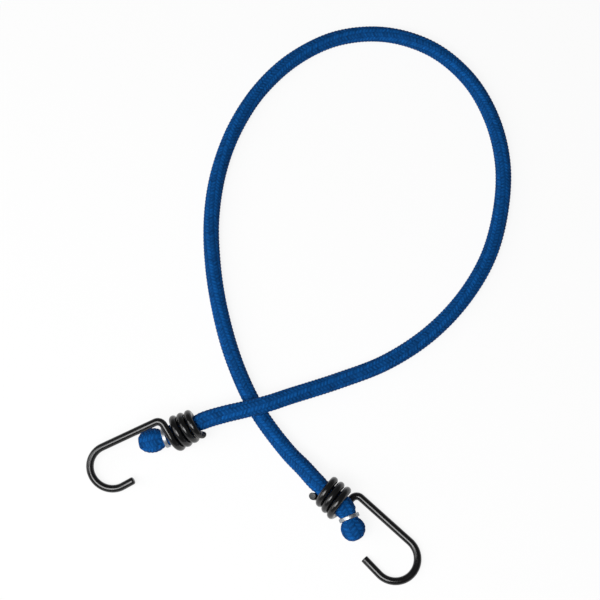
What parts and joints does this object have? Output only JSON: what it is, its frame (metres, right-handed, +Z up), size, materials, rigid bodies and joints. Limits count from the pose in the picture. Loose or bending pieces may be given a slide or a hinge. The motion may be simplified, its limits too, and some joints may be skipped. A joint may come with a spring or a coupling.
{
  "type": "bungee cord",
  "caption": "Elastic cord of rubber threads in a braided sleeve, laid in an open loop, with a coated wire hook wound on each end behind a crimped knob.",
  "frame": {"origin": "on the surface that the cord lies on, in the middle of the box round the two hooks and clips", "axes": "+X from hook A towards hook B, +Y towards the far side of the loop, +Z up from the surface"},
  "size_m": [0.2181, 0.3028, 0.0196],
  "materials": {
    "blue_braid": "matt braided polypropylene yarn",
    "natural_rubber": "matt, lightly dusted",
    "black_coated_wire": "glossy black vinyl dip on steel wire",
    "zinc_plated_steel": "bright zinc plate"
  },
  "bodies": {
    "cord": {"braided_sleeve": "blue_braid", "rubber_thread_01": "natural_rubber", "rubber_thread_02": "natural_rubber", "rubber_thread_03": "natural_rubber", "rubber_thread_04": "natural_rubber", "rubber_thread_05": "natural_rubber", "rubber_thread_06": "natural_rubber", "rubber_thread_07": "natural_rubber", "rubber_thread_08": "natural_rubber", "rubber_thread_09": "natural_rubber", "rubber_thread_10": "natural_rubber", "rubber_thread_11": "natural_rubber", "rubber_thread_12": "natural_rubber", "rubber_thread_13": "natural_rubber", "rubber_thread_14": "natural_rubber", "rubber_thread_15": "natural_rubber", "rubber_thread_16": "natural_rubber", "rubber_thread_17": "natural_rubber", "rubber_thread_18": "natural_rubber", "rubber_thread_19": "natural_rubber", "rubber_thread_20": "natural_rubber", "rubber_thread_21": "natural_rubber"},
    "cord_ends": {"end_clip_a": "zinc_plated_steel", "end_clip_b": "zinc_plated_steel"},
    "hook_a": {"wire_hook_a": "black_coated_wire"},
    "hook_b": {"wire_hook_b": "black_coated_wire"}
  },
  "joints": [
    {"name": "stretch", "type": "slide", "parent": "cord", "child": "cord_ends", "axis": [-0.32, -0.9474, 0], "range_m": [0, 0.16], "stiffness_N_per_m": 800, "deforming": ["braided_sleeve", "rubber_thread_01", "rubber_thread_02", "rubber_thread_03", "rubber_thread_04", "rubber_thread_05", "rubber_thread_06", "rubber_thread_07", "rubber_thread_08", "rubber_thread_09", "rubber_thread_10", "rubber_thread_11", "rubber_thread_12", "rubber_thread_13", "rubber_thread_14", "rubber_thread_15", "rubber_thread_16", "rubber_thread_17", "rubber_thread_18", "rubber_thread_19", "rubber_thread_20", "rubber_thread_21"]},
    {"name": "hook_a_swivel", "type": "hinge", "parent": "cord_ends", "child": "hook_a", "pos_m": [-0.03389, 0.0329, 0.00995], "axis": [-0.8974, -0.3662, -0.2459], "range_deg": [0, 45]},
    {"name": "hook_b_swivel", "type": "hinge", "parent": "cord_ends", "child": "hook_b", "pos_m": [0.03942, -0.0006, 0.00916], "axis": [0.7385, -0.6743, 0], "range_deg": [-150, 150]}
  ]
}
